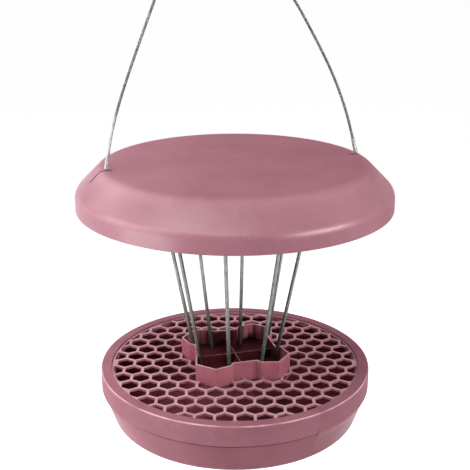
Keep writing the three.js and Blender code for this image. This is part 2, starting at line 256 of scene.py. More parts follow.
def own_place(tree, axis=None):
    """A point of the object, or its X, Y, Z or distance R from the middle line, in metres."""
    place = node(tree, "TexCoord").outputs["Object"]
    if axis is None:
        return place
    if axis != "R":
        return one_axis(tree, place, axis)
    level = node(tree, "VectorMath", operation="MULTIPLY")
    level.inputs[1].default_value = (1.0, 1.0, 0.0)
    tree.links.new(place, level.inputs[0])
    reach = node(tree, "VectorMath", operation="LENGTH")
    tree.links.new(level.outputs["Vector"], reach.inputs[0])
    return reach.outputs["Value"]


def noise(tree, place, scale, detail, roughness=0.5):
    made = node(tree, "TexNoise", Scale=scale, Detail=detail, Roughness=roughness)
    tree.links.new(place, made.inputs["Vector"])
    return made.outputs["Fac"]


def stretched_noise(tree, place, stretch, detail, roughness):
    """A noise that is finer along some axes than along others."""
    mapping = node(tree, "Mapping", Scale=stretch)
    tree.links.new(place, mapping.inputs["Vector"])
    return noise(tree, mapping.outputs["Vector"], 1.0, detail, roughness)


def between(tree, value, none_at, full_at, start=0.0, end=1.0):
    """A mask that goes from start to end as a value goes from none_at to full_at."""
    made = node(tree, "MapRange", From_Min=none_at, From_Max=full_at, To_Min=start, To_Max=end)
    tree.links.new(value, made.inputs["Value"])
    return made.outputs["Result"]


def joined(tree, one, other, operation="MULTIPLY"):
    made = node(tree, "Math", operation=operation)
    tree.links.new(one, made.inputs[0])
    tree.links.new(other, made.inputs[1])
    return made.outputs["Value"]


def patchy(tree, scale, least):
    """A noise mask from least to 1, for wear, dirt, painted light and painted shade that is not even."""
    clouds = noise(tree, own_place(tree), scale, detail=3.0, roughness=0.6)
    return between(tree, clouds, 0.36, 0.60, start=least)


def tinted(tree, colour, tint, share):
    """A colour multiplied by a share of a tint."""
    made = node(tree, "Mix", data_type="RGBA", blend_type="MULTIPLY")
    made.inputs["Factor"].default_value = share
    tree.links.new(colour, made.inputs["A"])
    tree.links.new(tint, made.inputs["B"])
    return made.outputs["Result"]


def lay_over(material, mask, tone, blend="MIX"):
    """Lay a tone over a material's colour where the mask is 1."""
    tree = material.node_tree
    base = tree.nodes["Principled BSDF"].inputs["Base Color"]
    made = node(tree, "Mix", data_type="RGBA", blend_type=blend)
    made.inputs["B"].default_value = (*tone, 1.0)
    tree.links.new(mask, made.inputs["Factor"])
    tree.links.new(base.links[0].from_socket, made.inputs["A"])
    tree.links.new(made.outputs["Result"], base)


def emboss(tree, surface, height, strength, depth):
    bump = node(tree, "Bump", Strength=strength, Distance=depth)
    tree.links.new(height, bump.inputs["Height"])
    tree.links.new(bump.outputs["Normal"], surface.inputs["Normal"])


cloud_stops = (0.30, 0.52, 0.78)
speck_scale = 700.0
speck_stops = [(0.36, (0.90, 0.88, 0.88)), (0.60, (1.0, 1.0, 1.0))]
speck_share = 0.7
spark_scale = 1400.0
spark_strength = 0.16
spark_depth = 0.12 * MM
ring_stretch = (500.0, 500.0, 25.0)
scuff_gain = 0.2


def rose_plastic(name, tones, mottle, shine, scuff=0.5, satin=0.285):
    """Satin moulded plastic: clouded pigment, fine spark grain and faint scuffs in rings."""
    made, tree, surface = new_material(name)
    place = own_place(tree)
    clouds = noise(tree, place, mottle, detail=5.0, roughness=0.6)
    specks = noise(tree, place, speck_scale, detail=2.0)
    sparks = noise(tree, place, spark_scale, detail=3.0, roughness=0.7)
    ring_place = node(tree, "CombineXYZ")
    for socket, axis in zip("XYZ", "RZX"):
        tree.links.new(own_place(tree, axis), ring_place.inputs[socket])
    rings = ring_place.outputs["Vector"]
    scuffs = stretched_noise(tree, rings, ring_stretch, detail=4.0, roughness=0.75)
    pigment = ramp(tree, clouds, list(zip(cloud_stops, tones)))
    flecks = ramp(tree, specks, speck_stops)
    tree.links.new(tinted(tree, pigment, flecks, speck_share), surface.inputs["Base Color"])
    gloss = between(tree, scuffs, 0.35, 0.75, start=satin, end=satin + scuff_gain * scuff)
    tree.links.new(gloss, surface.inputs["Roughness"])
    emboss(tree, surface, sparks, spark_strength, spark_depth)
    surface.inputs["Specular IOR Level"].default_value = shine
    return made


bowl_plastic = rose_plastic("rose_plastic_bowl", bowl_tones, mottle=20.0, shine=0.025)
bowl_nodes = bowl_plastic.node_tree
# A dark band on the bowl just under the skirt's edge, off the pads, is painted shade.
seam_band = between(bowl_nodes, own_place(bowl_nodes, "Z"), seam_low, seam_low + seam_fade)
bowl_reach = own_place(bowl_nodes, "R")
off_pads = between(bowl_nodes, bowl_reach, seam_reach + seam_reach_fade, seam_reach)
lay_over(bowl_plastic, joined(bowl_nodes, seam_band, off_pads), seam_painted_shade, "MULTIPLY")
# The bowl's inside is painted dark, as painted shade under the grid.
shaded_inside_plastic = rose_plastic("shaded_bowl_inside", painted_shade_tones, mottle=60.0, shine=0.05, scuff=1.6)
bowl.data.materials.append(bowl_plastic)
bowl.data.materials.append(shaded_inside_plastic)
for face in bowl.data.polygons:
    within = Vector(face.center[:2]).length < bowl_cone(face.center.z) - inside_shade_depth
    if within and face.center.z > bowl_floor - floor_skin:
        face.material_index = 1
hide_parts("seed_bowl")
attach(bowl, "bowl")

# Tray rim: the ring round the grid with its upright skirt, moulded in the same rose plastic.
# The bowl pushes up inside the skirt, and the grid lies on the ledge of the well inside.
grid_low, grid_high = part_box("honeycomb_grid")
rim_radius = rim_high.x
rim_top = rim_high.z
rim_inner = 102.8 * MM
rim_under = rim_top - 2.2 * MM
rim_outer_edge = 1.3 * MM
rim_inner_edge = 0.35 * MM
skirt_low = rim_low.z
skirt_inner = rim_radius - 2.0 * MM
skirt_outer_edge = 0.25 * MM
skirt_inner_edge = 0.4 * MM
well_outer = rim_inner + 2.0 * MM
ledge_inner = rim_inner - 3.0 * MM
ledge_top = grid_low.z - seat_gap
ledge_under = ledge_top - 2.0 * MM
notch_spare = math.degrees(seat_gap / rim_radius)
notch_clear = 0.06 * MM
notch_rise = pad_top + notch_clear - skirt_low
notch_reach = 0.6 * MM
notch_corner = 0.01
edge_band_from_height = rim_top - 1.1 * MM
edge_band_full_height = rim_top - 0.7 * MM
edge_band_from_radius = rim_radius - 1.0 * MM
edge_band_full_radius = rim_radius - 0.6 * MM
rubbed_roughness = 0.62
rim_tones = [(0.257, 0.096, 0.127), (0.295, 0.117, 0.151), (0.329, 0.140, 0.175)]
rim_edge_painted_highlight = (0.62, 0.40, 0.44)


def notched_rim(r, z, angle):
    """The skirt's lower edge, raised where a pad of the bowl fills its notch."""
    lower_edge = z < skirt_low + notch_reach
    return (r, z + notch_rise) if lower_edge and on_pad(angle, notch_spare) else (r, z)


def roughen(material, mask, roughness):
    """Make a material as rough as given where the mask is 1."""
    tree = material.node_tree
    gloss = tree.nodes["Principled BSDF"].inputs["Roughness"]
    made = node(tree, "Mix", data_type="FLOAT")
    made.inputs["B"].default_value = roughness
    tree.links.new(mask, made.inputs["Factor"])
    tree.links.new(gloss.links[0].from_socket, made.inputs["A"])
    tree.links.new(made.outputs["Result"], gloss)


rim_profile = rounded([
    (ledge_inner, ledge_under, 0),
    (ledge_inner, ledge_top, 0),
    (rim_inner, ledge_top, 0),
    (rim_inner, rim_top, rim_inner_edge),
    (rim_radius, rim_top, rim_outer_edge),
    (rim_radius, skirt_low, skirt_outer_edge),
    (skirt_inner, skirt_low, skirt_inner_edge),
    (skirt_inner, rim_under, 0),
    (well_outer, rim_under, 0),
    (well_outer, ledge_under, 0),
])
rim_angles = set(even_angles(tray_sides))
for pad_start in pad_starts:
    notch_from = pad_start - notch_spare
    notch_to = pad_start + pad_width + notch_spare
    for edge, outward in ((notch_from, -1.0), (notch_to, 1.0)):
        rim_angles.add((edge - outward * notch_corner) % 360.0)
        rim_angles.add((edge + outward * pad_edge / 2) % 360.0)
rim_mesh = bmesh.new()
turned(rim_mesh, rim_profile, sorted(rim_angles), notched_rim, closed=True)
rim = add_piece("dusty_rose_rim", rim_mesh)
rim_plastic = rose_plastic("rose_plastic_rim", rim_tones, mottle=26.0, shine=0.17, scuff=0.8, satin=0.52)
rim_nodes = rim_plastic.node_tree
rim_upper = between(rim_nodes, own_place(rim_nodes, "Z"), edge_band_from_height, edge_band_full_height)
rim_outer = between(rim_nodes, own_place(rim_nodes, "R"), edge_band_from_radius, edge_band_full_radius)
rim_edge_band = joined(rim_nodes, rim_upper, rim_outer)
roughen(rim_plastic, rim_edge_band, rubbed_roughness)
# The outer top edge is rougher, and pale in patches as a painted highlight.
rim_highlight_spots = patchy(rim_nodes, scale=60.0, least=0.25)
lay_over(rim_plastic, joined(rim_nodes, rim_edge_band, rim_highlight_spots), rim_edge_painted_highlight)
rim.data.materials.append(rim_plastic)
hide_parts("tray_rim")
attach(rim, "house")

# Honeycomb grid: the perch plate of hexagonal cells, moulded in rose plastic and laid in the rim.
# Its own solid stays, with the small edge roundings of a moulding on every cell wall.
# The tops of the walls are painted pale as painted light, and the walls below them darker as painted shade.
grid = frame["nodes"]["honeycomb_grid"]
cell_edge = 0.35 * MM
cell_shade_from = grid_high.z - 0.60 * MM
cell_shade_full = grid_high.z - 1.30 * MM
wall_top_light_from = grid_high.z - 0.36 * MM
wall_top_light_full = grid_high.z - 0.10 * MM
grid_tones = [(0.385, 0.155, 0.190), (0.435, 0.182, 0.222), (0.480, 0.212, 0.252)]
cell_shade_tint = (0.90, 0.80, 0.82)
wall_top_painted_light = (0.505, 0.298, 0.325)


def soften_edges(piece, width, name):
    weld = piece.modifiers.new("joined_corners", "WELD")
    weld.merge_threshold = weld_distance
    soft = piece.modifiers.new(name, "BEVEL")
    soft.width = width
    soft.segments = 2
    soft.limit_method = "ANGLE"
    soft.angle_limit = math.radians(crease_angle)
    soft.harden_normals = False


def dress(piece, material):
    piece.data.materials.clear()
    piece.data.materials.append(material)


soften_edges(grid, cell_edge, "moulded_cell_edges")
grid_plastic = rose_plastic("rose_plastic_grid", grid_tones, mottle=30.0, shine=0.12, scuff=0.9, satin=0.62)
grid_nodes = grid_plastic.node_tree
grid_height = own_place(grid_nodes, "Z")
# Painted shade: the walls darken below their tops, in patches.
cell_shade = between(grid_nodes, grid_height, cell_shade_from, cell_shade_full)
cell_shade_spots = patchy(grid_nodes, scale=70.0, least=0.7)
lay_over(grid_plastic, joined(grid_nodes, cell_shade, cell_shade_spots), cell_shade_tint, "MULTIPLY")
# Painted light: the tops of the walls are paler, in patches.
wall_top_light = between(grid_nodes, grid_height, wall_top_light_from, wall_top_light_full)
wall_top_light_spots = patchy(grid_nodes, scale=70.0, least=0.5)
lay_over(grid_plastic, joined(grid_nodes, wall_top_light, wall_top_light_spots), wall_top_painted_light)
dress(grid, grid_plastic)

# Food cup: the clover-shaped collar with its floor, cross of ribs and rod sockets.
# Its own solid stays too. It is pushed up through the grid until its flange meets the grid's
# underside. Its floor, ribs and inner notch walls are painted dark as painted shade, food has run down
# its inner walls, and the tops of its ribs and walls are painted pale as painted highlights.
cup = frame["nodes"]["food_cup"]
cup_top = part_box("food_cup")[1].z
cup_edge = 0.3 * MM
cup_floor_top = 44.4 * MM
rib_top = cup_floor_top + 7.1 * MM
cup_well_reach = 31.7 * MM
cup_well_fade = 0.3 * MM
cup_well_top = cup_top - 0.4 * MM
cup_shade_fade = 1.5 * MM
floor_shade_from = cup_floor_top + 2.0 * MM
floor_shade_full = cup_floor_top + 0.1 * MM
inward_reach = 5.8 * MM
rib_light_from = rib_top - 0.5 * MM
rib_light_full = rib_top - 0.1 * MM
cup_edge_light_from = cup_top - 0.45 * MM
cup_edge_light_full = cup_top - 0.15 * MM
upward_from = 0.3
upward_full = 0.8
run_stretch = (260.0, 260.0, 14.0)
run_from = 0.46
run_full = 0.60
cup_tones = [(0.330, 0.100, 0.138), (0.405, 0.130, 0.170), (0.480, 0.170, 0.212)]
cup_painted_shade = (0.19, 0.095, 0.105)
cup_runs = (0.40, 0.24, 0.29)
cup_edge_painted_highlight = (0.66, 0.40, 0.43)
rib_painted_light = (0.23, 0.105, 0.12)


def facing(tree):
    return node(tree, "NewGeometry").outputs["Normal"]


def paint_cup_shade_runs_and_highlights(material):
    """Paint shade on the cup's floor, cross ribs and inner notch walls, run food down the inner walls, and
    paint highlights on the tops of the ribs and walls.
    """
    tree = material.node_tree
    height = own_place(tree, "Z")
    sides = []
    for axis in "XY":
        side = node(tree, "Math", operation="ABSOLUTE")
        tree.links.new(own_place(tree, axis), side.inputs[0])
        sides.append(side.outputs["Value"])
    reach = joined(tree, *sides, "MAXIMUM")
    upward = between(tree, one_axis(tree, facing(tree), "Z"), upward_from, upward_full)
    outward = node(tree, "VectorMath", operation="DOT_PRODUCT")
    tree.links.new(facing(tree), outward.inputs[0])
    tree.links.new(own_place(tree), outward.inputs[1])
    inward = between(tree, outward.outputs["Value"], inward_reach, -inward_reach)
    inside = between(tree, reach, cup_well_reach, cup_well_reach - cup_well_fade)
    below = between(tree, height, cup_well_top, cup_well_top - cup_shade_fade)
    low = between(tree, height, floor_shade_from, floor_shade_full)
    low_shade = joined(tree, low, joined(tree, upward, inward, "MAXIMUM"))
    cup_shade_mask = joined(tree, joined(tree, inside, below), low_shade, "MAXIMUM")
    # Painted shade in the cup's well.
    lay_over(material, cup_shade_mask, cup_painted_shade, "MULTIPLY")
    runs = stretched_noise(tree, own_place(tree), run_stretch, detail=3.0, roughness=0.6)
    run_mask = joined(tree, between(tree, runs, run_from, run_full), inward)
    lay_over(material, run_mask, cup_runs, "MULTIPLY")
    rib_band = between(tree, height, rib_light_from, rib_light_full)
    rib_edge = joined(tree, joined(tree, upward, rib_band), below)
    rib_light_spots = patchy(tree, scale=120.0, least=0.3)
    # Painted light on the tops of the cross ribs.
    lay_over(material, joined(tree, rib_edge, rib_light_spots), rib_painted_light)
    edge = between(tree, height, cup_edge_light_from, cup_edge_light_full)
    edge_highlight_spots = patchy(tree, scale=90.0, least=0.6)
    # Painted highlight along the tops of the cup's walls.
    lay_over(material, joined(tree, edge, edge_highlight_spots), cup_edge_painted_highlight)


soften_edges(cup, cup_edge, "moulded_cup_edges")
cup_plastic = rose_plastic("rose_plastic_cup", cup_tones, mottle=34.0, shine=0.22, scuff=0.0, satin=0.42)
paint_cup_shade_runs_and_highlights(cup_plastic)
dress(cup, cup_plastic)

# Rods: straight lengths of drawn galvanised wire, pressed into the cup's sockets below
# and into the roof's bosses above. The zinc is dull, with long draw marks, painted shade on the
# sides that face inward and more painted shade towards the feet.
rod_count = 8
rod_radius = 1.5 * MM
rod_foot_radius = 33.0 * MM
rod_head_radius = 59.9 * MM
rod_foot_height = 44.4 * MM
rod_low, rod_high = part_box("rod_1")
roof_low, roof_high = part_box("roof")
rod_end_edge = 0.35 * MM
rod_sides = 32
rod_slope = (rod_head_radius - rod_foot_radius) / (roof_low.z - rod_foot_height)
rod_end_rise = rod_radius * math.sin(math.atan(rod_slope))
draw_stretch = (900.0, 900.0, 22.0)
draw_share = 0.7
spangle_scale = 330.0
spangle_share = 0.3
zinc_stops = [(0.32, (0.17, 0.178, 0.17)), (0.50, (0.37, 0.383, 0.37)), (0.70, (0.60, 0.62, 0.60))]
inner_side_shade = (0.12, 0.127, 0.12)
inner_shade_from = -0.004
inner_shade_full = -0.024
foot_shade = (0.19, 0.20, 0.19)
foot_shade_from = 110.0 * MM
foot_shade_full = 64.0 * MM
draw_strength = 0.12
draw_depth = 0.08 * MM


def galvanised(name):
    """Dull drawn zinc, with draw marks along the wire and a fine spangle."""
    made, tree, surface = new_material(name)
    draw_marks = stretched_noise(tree, own_place(tree), draw_stretch, detail=4.0, roughness=0.65)
    spangle = noise(tree, own_place(tree), spangle_scale, detail=3.0, roughness=0.6)
    long_marks = node(tree, "Math", operation="MULTIPLY")
    long_marks.inputs[1].default_value = draw_share
    tree.links.new(draw_marks, long_marks.inputs[0])
    marks = node(tree, "Math", operation="MULTIPLY_ADD")
    marks.inputs[1].default_value = spangle_share
    tree.links.new(spangle, marks.inputs[0])
    tree.links.new(long_marks.outputs["Value"], marks.inputs[2])
    tree.links.new(ramp(tree, marks.outputs["Value"], zinc_stops), surface.inputs["Base Color"])
    # Painted shade on the side of each rod that faces inward.
    outward = joined(tree, one_axis(tree, facing(tree), "X"), own_place(tree, "X"))
    inward_side = between(tree, outward, inner_shade_from, inner_shade_full)
    inner_shade_spots = patchy(tree, scale=300.0, least=0.7)
    lay_over(made, joined(tree, inward_side, inner_shade_spots), inner_side_shade, "MULTIPLY")
    # Painted shade towards the feet.
    shaded_foot = between(tree, own_place(tree, "Z"), foot_shade_from, foot_shade_full)
    lay_over(made, shaded_foot, foot_shade, "MULTIPLY")
    dull = between(tree, draw_marks, 0.3, 0.7, start=0.52, end=0.34)
    tree.links.new(dull, surface.inputs["Roughness"])
    emboss(tree, surface, marks.outputs["Value"], draw_strength, draw_depth)
    surface.inputs["Metallic"].default_value = 0.1
    surface.inputs["Specular IOR Level"].default_value = 0.04
    return made


def rod_point(index, z):
    """The middle of a rod at a height."""
    direction = math.radians((index + 0.5) * 360.0 / rod_count)
    out = Vector((math.cos(direction), math.sin(direction), 0.0))
    reach = rod_foot_radius + rod_slope * (z - rod_foot_height)
    return out * reach + Vector((0.0, 0.0, z))


def stand_between(bm, verts, start, end):
    """Take a shape that was turned about Z to the line from start to end."""
    stand = (end - start).to_track_quat("Z", "Y").to_matrix().to_4x4()
    stand.translation = start
    bmesh.ops.transform(bm, matrix=stand, verts=verts)


zinc_wire = galvanised("zinc_wire")
for index in range(rod_count):
    foot = rod_point(index, rod_low.z + rod_end_rise)
    head = rod_point(index, rod_high.z - rod_end_rise)
    length = (head - foot).length
    wire_profile = rounded([
        (0.0, 0.0, 0),
        (rod_radius, 0.0, rod_end_edge),
        (rod_radius, length, rod_end_edge),
        (0.0, length, 0),
    ], step=30.0)
    wire_mesh = bmesh.new()
    turned(wire_mesh, wire_profile, even_angles(rod_sides))
    stand_between(wire_mesh, wire_mesh.verts, foot, head)
    wire = add_piece(f"galvanised_rod_{index + 1}", wire_mesh)
    wire.data.materials.append(zinc_wire)
    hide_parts(f"rod_{index + 1}")
    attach(wire, "house")

# Roof: one thin shallow moulding with a flat disc, a sloping shoulder and an upright lip.
# Bosses under the disc take the rod heads, and a slit with a hole lets each rope end through.
# Weather has made the disc matt. The disc and the upright lip are painted darker as painted shade,
# the shoulder paler as a painted sheen, and the left of the disc lighter as painted light.
roof_radius = roof_high.x
roof_lip = roof_low.z
roof_top = roof_high.z
roof_wall = 2.2 * MM
roof_under = roof_top - roof_wall
roof_shoulder = roof_lip + 13.2 * MM
roof_disc = 105.3 * MM
roof_sides = 288
disc_rounding = 8.2 * MM
shoulder_rounding = 9.9 * MM
lip_edge = 0.6 * MM
cutter_top = roof_top + 1.0 * MM
slit_from = 96.0 * MM
slit_to = 114.0 * MM
slit_half = 0.85 * MM
cable_hole_place = 101.0 * MM
cable_hole_radius = 1.4 * MM
cable_hole_sides = 32
boss_bore = rod_radius + 0.3 * MM
boss_radius = 3.3 * MM
boss_foot = roof_under - 14.0 * MM
boss_cover = 0.7
boss_head = roof_top - roof_wall * boss_cover
boss_mouth_edge = 0.3 * MM
boss_foot_edge = 0.5 * MM
boss_sides = 28
matt_from = roof_disc + 7.0 * MM
matt_full = roof_disc + 1.0 * MM
matt_roughness = 0.7
disc_shade_full = 98.0 * MM
sheen_from = roof_disc - 1.0 * MM
sheen_full = roof_disc + 2.0 * MM
slope_from = 0.30
slope_full = 0.62
upright_from = 0.36
upright_full = 0.06
left_light_full = -100.0 * MM
roof_tones = [(0.312, 0.125, 0.160), (0.358, 0.152, 0.191), (0.398, 0.182, 0.222)]
disc_shade_tint = (0.86, 0.77, 0.80)
shoulder_sheen_tint = (1.01, 1.09, 1.06)
lip_shade_tint = (0.92, 0.88, 0.90)
left_light_tint = (1.07, 1.12, 1.10)
cut_shade_share = 0.25
cut_shade_tones = [tuple(cut_shade_share * c for c in tone) for tone in painted_shade_tones]
disc_corner = Vector((roof_disc, roof_top))
roof_corner = Vector((roof_radius, roof_shoulder))
under_disc = inner_line(Vector((0.0, roof_top)), disc_corner, roof_corner, -roof_wall)
under_shoulder = inner_line(disc_corner, roof_corner, Vector((roof_radius, roof_lip)), -roof_wall)
roof_profile = rounded([
    (0.0, roof_top, 0),
    (*disc_corner, disc_rounding),
    (*roof_corner, shoulder_rounding),
    (roof_radius, roof_lip, lip_edge),
    (roof_radius - roof_wall, roof_lip, lip_edge),
    (*under_shoulder, shoulder_rounding - roof_wall),
    (*under_disc, disc_rounding - roof_wall),
    (0.0, roof_under, 0),
], step=5.0)
roof_mesh = bmesh.new()
turned(roof_mesh, roof_profile, even_angles(roof_sides))
roof = add_piece("dusty_rose_roof", roof_mesh)
roof_plastic = rose_plastic("rose_plastic_roof", roof_tones, mottle=14.0, shine=0.36, scuff=0.6)
roof_nodes = roof_plastic.node_tree
roof_reach = own_place(roof_nodes, "R")
roof_upward = one_axis(roof_nodes, facing(roof_nodes), "Z")
matt_disc = between(roof_nodes, roof_reach, matt_from, matt_full)
roughen(roof_plastic, matt_disc, matt_roughness)
# Painted shade on the disc.
disc_shade = between(roof_nodes, roof_reach, roof_disc, disc_shade_full)
lay_over(roof_plastic, disc_shade, disc_shade_tint, "MULTIPLY")
# Painted sheen on the shoulder.
sloping = between(roof_nodes, roof_upward, slope_from, slope_full)
shoulder_sheen = joined(roof_nodes, sloping, between(roof_nodes, roof_reach, sheen_from, sheen_full))
lay_over(roof_plastic, shoulder_sheen, shoulder_sheen_tint, "MULTIPLY")
# Painted shade on the upright lip.
upright = between(roof_nodes, roof_upward, upright_from, upright_full)
lay_over(roof_plastic, upright, lip_shade_tint, "MULTIPLY")
# Painted light on the left of the disc.
left_light = between(roof_nodes, own_place(roof_nodes, "X"), 0.0, left_light_full)
lay_over(roof_plastic, joined(roof_nodes, left_light, matt_disc), left_light_tint, "MULTIPLY")
roof.data.materials.append(roof_plastic)


def cut_from(piece, cutter_mesh, cut_face):
    cutter = add_piece("cutter", cutter_mesh)
    cutter.data.materials.append(cut_face)
    cut = piece.modifiers.new("cable_openings", "BOOLEAN")
    cut.operation = "DIFFERENCE"
    cut.solver = "EXACT"
    cut.material_mode = "TRANSFER"
    cut.object = cutter
    shaped = piece.evaluated_get(bpy.context.evaluated_depsgraph_get())
    uncut = piece.data
    piece.data = bpy.data.meshes.new_from_object(shaped)
    piece.modifiers.clear()
    bpy.data.objects.remove(cutter)
    bpy.data.meshes.remove(uncut)


# The cut faces of the slits and holes are painted near black, as painted shade inside them.
shaded_cut = rose_plastic("shaded_cut_faces", cut_shade_tones, mottle=60.0, shine=0.2)
slit_outline = [
    (slit_from, -slit_half),
    (slit_to, -slit_half),
    (slit_to, slit_half),
    (slit_from, slit_half),
]
drill = rounded([
    (0.0, roof_shoulder, 0),
    (cable_hole_radius, roof_shoulder, 0),
    (cable_hole_radius, cutter_top, 0),
    (0.0, cutter_top, 0),
])
slits = bmesh.new()
holes = bmesh.new()
for side in (-1.0, 1.0):
    low_ring = [slits.verts.new((side * x, side * y, roof_shoulder)) for x, y in slit_outline]
    high_ring = [slits.verts.new((side * x, side * y, cutter_top)) for x, y in slit_outline]
    slits.faces.new(low_ring)
    slits.faces.new(high_ring)
    for k in range(len(slit_outline)):
        slits.faces.new([low_ring[k - 1], low_ring[k], high_ring[k], high_ring[k - 1]])
    drilled = turned(holes, drill, even_angles(cable_hole_sides))
    bmesh.ops.translate(holes, vec=(side * cable_hole_place, 0.0, 0.0), verts=drilled)
cut_from(roof, slits, shaded_cut)
cut_from(roof, holes, shaded_cut)
keep_sharp(roof.data, crease_angle)
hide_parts("roof")
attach(roof, "house")
boss_mesh = bmesh.new()
for index in range(rod_count):
    foot = rod_point(index, boss_foot)
    head = rod_point(index, boss_head)
    length = (head - foot).length
    tube = rounded([
        (boss_bore, 0.0, boss_mouth_edge),
        (boss_radius, 0.0, boss_foot_edge),
        (boss_radius, length, 0),
        (boss_bore, length, 0),
    ], step=30.0)
    boss_verts = turned(boss_mesh, tube, even_angles(boss_sides), closed=True)
    stand_between(boss_mesh, boss_verts, foot, head)
bosses = add_piece("roof_rod_bosses", boss_mesh)
bosses.data.materials.append(roof_plastic)
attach(bosses, "house")

# Rope stops: a crimped aluminium slug on each rope tail under the roof, wider than the hole.
# It bears on the roof's underside and carries the whole feeder.
stop_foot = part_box("cable_stop_left")[0].z
stop_bearing = roof_under - seat_gap
stop_radius = 2.2 * MM
stop_edge = 0.6 * MM
stop_crimp = 2.4 * MM
tail_radius = 1.1 * MM
tail_edge = 0.2 * MM
waist_low = stop_foot + stop_edge
waist_steps = 12
crimp_depth = 0.28 * MM
crimped_from = 1.2 * MM
crimp_sides = 40
press_scale = 420.0
press_stops = [(0.32, (0.24, 0.24, 0.235)), (0.52, (0.38, 0.38, 0.373)), (0.75, (0.54, 0.54, 0.532))]
grit_scale = 2600.0
grit_strength = 0.2
grit_depth = 0.06 * MM


def crimped_aluminium(name):
    """Soft aluminium with the marks of the pressing tool and a fine grit."""
    made, tree, surface = new_material(name)
    press_marks = noise(tree, own_place(tree), press_scale, detail=4.0, roughness=0.6)
    grit = noise(tree, own_place(tree), grit_scale, detail=2.0)
    tree.links.new(ramp(tree, press_marks, press_stops), surface.inputs["Base Color"])
    dull = between(tree, press_marks, 0.3, 0.7, start=0.34, end=0.52)
    tree.links.new(dull, surface.inputs["Roughness"])
    emboss(tree, surface, grit, grit_strength, grit_depth)
    surface.inputs["Metallic"].default_value = 0.55
    return made


def pressed(middle, half_length, taper=0.0):
    """A sleeve's radius where a crimping tool has pressed it from two sides and drawn it thinner."""
    def shaped(r, z, angle):
        drawn = r - max(0.0, z) * taper if r > tail_radius else r
        reach = abs(z - middle) / half_length
        if reach >= 1.0 or r < crimped_from:
            return drawn, z
        dent = crimp_depth * (1.0 - reach ** 4)
        return drawn - dent * math.cos(math.radians(angle)) ** 2, z
    return shaped


aluminium = crimped_aluminium("crimped_aluminium")
tail = rounded([
    (0.0, roof_top, 0),
    (tail_radius, roof_top, tail_edge),
    (tail_radius, stop_bearing, 0),
])
waist = [
    Vector((stop_radius, waist_low + (stop_bearing - waist_low) * k / waist_steps))
    for k in range(waist_steps, 0, -1)
]
slug_foot = rounded([
    (stop_radius, waist_low, 0),
    (stop_radius - stop_edge, stop_foot, 0),
    (0.0, stop_foot, 0),
])
stop_shape = pressed((stop_bearing + stop_foot) / 2, stop_crimp)
for hand, side in (("left", -1.0), ("right", 1.0)):
    slug_mesh = bmesh.new()
    turned(slug_mesh, tail + waist + slug_foot, even_angles(crimp_sides), stop_shape)
    bmesh.ops.translate(slug_mesh, vec=(side * cable_hole_place, 0.0, 0.0), verts=slug_mesh.verts)
    slug = add_piece(f"rope_stop_{hand}", slug_mesh)
    slug.data.materials.append(aluminium)
    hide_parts(f"cable_stop_{hand}")
    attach(slug, "house")

# Rope sleeves: short aluminium tubes crimped on the rope just above the roof.
# Each has a round lower end that rests over its hole and lets the bail fold to either side.
sleeve_radius = 1.7 * MM
sleeve_chamfer = 0.2 * MM
sleeve_taper = 0.03
sleeve_crimp = 3.2 * MM
sleeve_crimp_place = 0.55
sleeve_steps = 24
ball_steps = 10
swing = next(joint for joint in frame["joints"] if joint["name"] == "bail_swing")
pivot_height = swing["pos_m"][2]
rope_points = [
    (-98.5, 230.6), (-95.4, 245.2), (-90.3, 263.0), (-84.2, 280.7), (-77.6, 298.0), (-70.8, 315.2),
    (-64.0, 332.2), (-57.0, 349.5), (-49.6, 367.0), (-42.0, 384.0), (-34.6, 398.6), (-28.2, 408.2),
    (-20.5, 412.8), (-12.2, 409.2), (-4.2, 399.6), (6.4, 387.0), (20.2, 371.5), (34.6, 354.5),
    (48.2, 335.8), (59.4, 317.3), (70.0, 298.8), (79.2, 280.9), (86.9, 263.2), (93.0, 246.2),
    (97.8, 229.6),
]
rope_route = [Vector((x * MM, 0.0, z * MM)) for x, z in rope_points]
ball_angles = [math.radians(90.0 * k / ball_steps) for k in range(ball_steps + 1)]
ball = [Vector((sleeve_radius * math.sin(a), -sleeve_radius * math.cos(a))) for a in ball_angles]
for hand, side, rope_end in (("left", -1.0, rope_route[0]), ("right", 1.0, rope_route[-1])):
    pivot = Vector((side * cable_hole_place, 0.0, pivot_height))
    length = (rope_end - pivot).length - seat_gap
    tube = [Vector((sleeve_radius, length * k / sleeve_steps)) for k in range(1, sleeve_steps - 1)]
    mouth = [
        Vector((sleeve_radius, length - sleeve_chamfer)),
        Vector((sleeve_radius - sleeve_chamfer, length)),
        Vector((0.0, length)),
    ]
    sleeve_shape = pressed(length * sleeve_crimp_place, sleeve_crimp, sleeve_taper)
    sleeve_mesh = bmesh.new()
    turned(sleeve_mesh, ball + tube + mouth, even_angles(crimp_sides), sleeve_shape)
    stand_between(sleeve_mesh, sleeve_mesh.verts, pivot, rope_end)
    sleeve = add_piece(f"rope_sleeve_{hand}", sleeve_mesh)
    sleeve.data.materials.append(aluminium)
    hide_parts(f"cable_sleeve_{hand}")
    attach(sleeve, "hanger")

